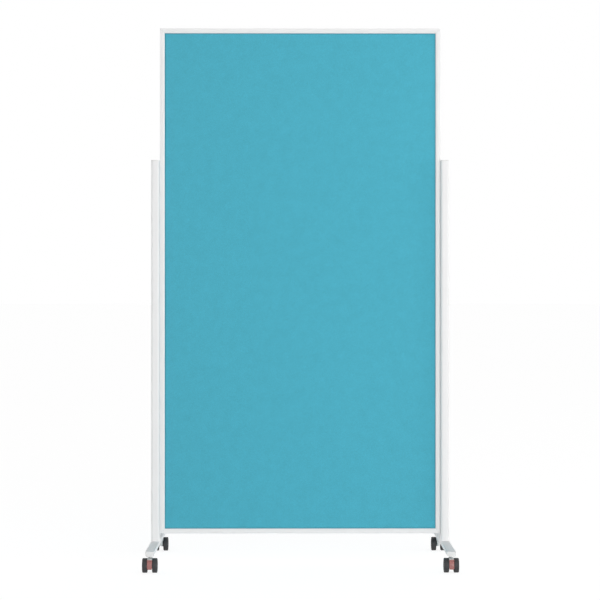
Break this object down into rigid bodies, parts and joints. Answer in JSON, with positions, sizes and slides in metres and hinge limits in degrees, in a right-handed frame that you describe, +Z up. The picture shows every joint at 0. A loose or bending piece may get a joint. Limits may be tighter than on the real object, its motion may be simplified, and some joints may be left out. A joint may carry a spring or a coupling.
{
  "type": "mobile pinboard",
  "caption": "Tall framed pinboard held between two posts on castered feet, to pin sheets on and to divide a room; the casters swivel, roll and have brake levers.",
  "frame": {"origin": "on the floor, under the middle of the board", "axes": "+Z up, -Y out of the front of the board, +X to the right seen from the front"},
  "size_m": [1.0816, 0.61, 1.9],
  "materials": {
    "teal_felt": "matt pinnable felt in teal",
    "softboard": "plain light fibreboard",
    "white_coated_aluminium": "white powder coating, fine satin",
    "white_coated_steel": "white powder coating, fine satin",
    "white_plastic": "moulded, satin",
    "cast_zinc": "as cast, dull",
    "plated_steel": "zinc plated",
    "pale_grey_plastic": "moulded, satin",
    "black_plastic": "moulded, satin",
    "red_plastic": "moulded, satin"
  },
  "bodies": {
    "stand": {"pin_panel_front": "teal_felt", "pin_panel_rear": "teal_felt", "panel_core": "softboard", "frame_top_rail": "white_coated_aluminium", "frame_bottom_rail": "white_coated_aluminium", "frame_left_stile": "white_coated_aluminium", "frame_right_stile": "white_coated_aluminium", "frame_corner_bottom_left": "cast_zinc", "frame_corner_top_left": "cast_zinc", "frame_corner_top_right": "cast_zinc", "frame_corner_bottom_right": "cast_zinc", "post_left": "white_coated_aluminium", "post_cap_left": "white_plastic", "post_plug_left": "cast_zinc", "foot_left": "white_coated_steel", "board_bolt_left_lower": "plated_steel", "board_nut_left_lower": "plated_steel", "board_bolt_left_upper": "plated_steel", "board_nut_left_upper": "plated_steel", "post_bolt_left_front": "plated_steel", "foot_end_left_front": "white_plastic", "caster_left_front_stem": "plated_steel", "post_bolt_left_rear": "plated_steel", "foot_end_left_rear": "white_plastic", "caster_left_rear_stem": "plated_steel", "post_right": "white_coated_aluminium", "post_cap_right": "white_plastic", "post_plug_right": "cast_zinc", "foot_right": "white_coated_steel", "board_bolt_right_lower": "plated_steel", "board_nut_right_lower": "plated_steel", "board_bolt_right_upper": "plated_steel", "board_nut_right_upper": "plated_steel", "post_bolt_right_front": "plated_steel", "foot_end_right_front": "white_plastic", "caster_right_front_stem": "plated_steel", "post_bolt_right_rear": "plated_steel", "foot_end_right_rear": "white_plastic", "caster_right_rear_stem": "plated_steel"},
    "caster_left_front": {"caster_left_front_body": "pale_grey_plastic", "caster_left_front_axle": "plated_steel"},
    "caster_left_front_wheel_outer": {"caster_left_front_wheel_outer": "black_plastic"},
    "caster_left_front_wheel_inner": {"caster_left_front_wheel_inner": "black_plastic"},
    "caster_left_front_brake": {"caster_left_front_brake_lever": "red_plastic"},
    "caster_left_rear": {"caster_left_rear_body": "pale_grey_plastic", "caster_left_rear_axle": "plated_steel"},
    "caster_left_rear_wheel_outer": {"caster_left_rear_wheel_outer": "black_plastic"},
    "caster_left_rear_wheel_inner": {"caster_left_rear_wheel_inner": "black_plastic"},
    "caster_left_rear_brake": {"caster_left_rear_brake_lever": "red_plastic"},
    "caster_right_front": {"caster_right_front_body": "pale_grey_plastic", "caster_right_front_axle": "plated_steel"},
    "caster_right_front_wheel_outer": {"caster_right_front_wheel_outer": "black_plastic"},
    "caster_right_front_wheel_inner": {"caster_right_front_wheel_inner": "black_plastic"},
    "caster_right_front_brake": {"caster_right_front_brake_lever": "red_plastic"},
    "caster_right_rear": {"caster_right_rear_body": "pale_grey_plastic", "caster_right_rear_axle": "plated_steel"},
    "caster_right_rear_wheel_outer": {"caster_right_rear_wheel_outer": "black_plastic"},
    "caster_right_rear_wheel_inner": {"caster_right_rear_wheel_inner": "black_plastic"},
    "caster_right_rear_brake": {"caster_right_rear_brake_lever": "red_plastic"}
  },
  "joints": [
    {"name": "swivel_left_front", "type": "hinge", "parent": "stand", "child": "caster_left_front", "pos_m": [-0.5153, -0.26, 0.045], "axis": [0, 0, 1], "continuous": true},
    {"name": "wheel_left_front_outer", "type": "hinge", "parent": "caster_left_front", "child": "caster_left_front_wheel_outer", "pos_m": [-0.5153, -0.28, 0.025], "axis": [1, 0, 0], "continuous": true},
    {"name": "wheel_left_front_inner", "type": "hinge", "parent": "caster_left_front", "child": "caster_left_front_wheel_inner", "pos_m": [-0.5153, -0.28, 0.025], "axis": [1, 0, 0], "continuous": true},
    {"name": "brake_left_front", "type": "hinge", "parent": "caster_left_front", "child": "caster_left_front_brake", "pos_m": [-0.5153, -0.28, 0.025], "axis": [1, 0, 0], "range_deg": [0, 18]},
    {"name": "swivel_left_rear", "type": "hinge", "parent": "stand", "child": "caster_left_rear", "pos_m": [-0.5153, 0.26, 0.045], "axis": [0, 0, 1], "continuous": true},
    {"name": "wheel_left_rear_outer", "type": "hinge", "parent": "caster_left_rear", "child": "caster_left_rear_wheel_outer", "pos_m": [-0.5153, 0.28, 0.025], "axis": [1, 0, 0], "continuous": true},
    {"name": "wheel_left_rear_inner", "type": "hinge", "parent": "caster_left_rear", "child": "caster_left_rear_wheel_inner", "pos_m": [-0.5153, 0.28, 0.025], "axis": [1, 0, 0], "continuous": true},
    {"name": "brake_left_rear", "type": "hinge", "parent": "caster_left_rear", "child": "caster_left_rear_brake", "pos_m": [-0.5153, 0.28, 0.025], "axis": [-1, 0, 0], "range_deg": [0, 18]},
    {"name": "swivel_right_front", "type": "hinge", "parent": "stand", "child": "caster_right_front", "pos_m": [0.5153, -0.26, 0.045], "axis": [0, 0, 1], "continuous": true},
    {"name": "wheel_right_front_outer", "type": "hinge", "parent": "caster_right_front", "child": "caster_right_front_wheel_outer", "pos_m": [0.5153, -0.28, 0.025], "axis": [1, 0, 0], "continuous": true},
    {"name": "wheel_right_front_inner", "type": "hinge", "parent": "caster_right_front", "child": "caster_right_front_wheel_inner", "pos_m": [0.5153, -0.28, 0.025], "axis": [1, 0, 0], "continuous": true},
    {"name": "brake_right_front", "type": "hinge", "parent": "caster_right_front", "child": "caster_right_front_brake", "pos_m": [0.5153, -0.28, 0.025], "axis": [1, 0, 0], "range_deg": [0, 18]},
    {"name": "swivel_right_rear", "type": "hinge", "parent": "stand", "child": "caster_right_rear", "pos_m": [0.5153, 0.26, 0.045], "axis": [0, 0, 1], "continuous": true},
    {"name": "wheel_right_rear_outer", "type": "hinge", "parent": "caster_right_rear", "child": "caster_right_rear_wheel_outer", "pos_m": [0.5153, 0.28, 0.025], "axis": [1, 0, 0], "continuous": true},
    {"name": "wheel_right_rear_inner", "type": "hinge", "parent": "caster_right_rear", "child": "caster_right_rear_wheel_inner", "pos_m": [0.5153, 0.28, 0.025], "axis": [1, 0, 0], "continuous": true},
    {"name": "brake_right_rear", "type": "hinge", "parent": "caster_right_rear", "child": "caster_right_rear_brake", "pos_m": [0.5153, 0.28, 0.025], "axis": [-1, 0, 0], "range_deg": [0, 18]}
  ]
}
